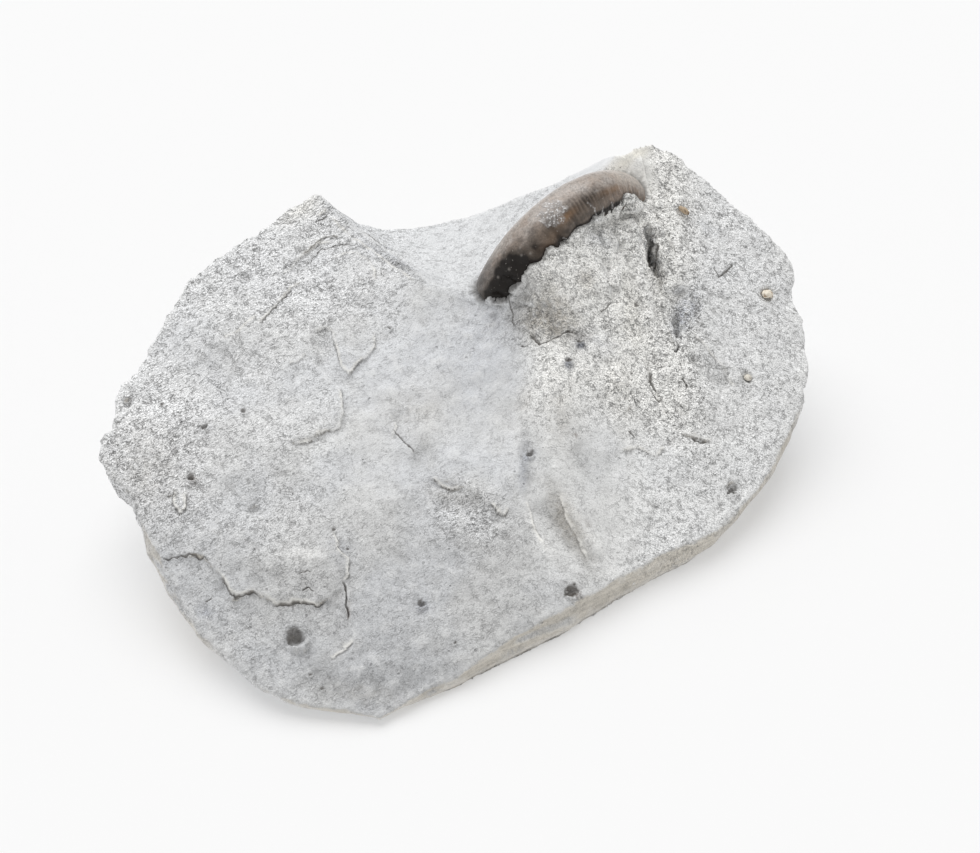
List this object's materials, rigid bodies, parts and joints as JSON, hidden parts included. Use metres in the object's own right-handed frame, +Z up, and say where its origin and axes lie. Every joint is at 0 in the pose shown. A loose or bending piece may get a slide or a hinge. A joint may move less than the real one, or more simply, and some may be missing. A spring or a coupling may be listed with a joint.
{
  "type": "fossil ammonite in matrix",
  "caption": "Wedge-shaped lump of pale grey mudstone with a brown ribbed ammonite standing half out of its top, beside a scooped fracture.",
  "frame": {"origin": "middle of the base, at the height of the surface it rests on", "axes": "+Z up, +Y from the low front edge to the high back, +X to the right as seen from the front"},
  "size_m": [0.1124, 0.096, 0.0399],
  "materials": {
    "mudstone": "dry, matt and granular, pale grey",
    "fossil_shell": "waxy brown, worn smooth",
    "cream_shell": "dull cream",
    "tan_shell": "dull tan"
  },
  "bodies": {
    "root": {"matrix": "mudstone", "ammonite": "fossil_shell", "shell_fragment_right": "cream_shell", "shell_fragment_top": "tan_shell", "shell_fragment_low": "cream_shell"}
  },
  "joints": []
}
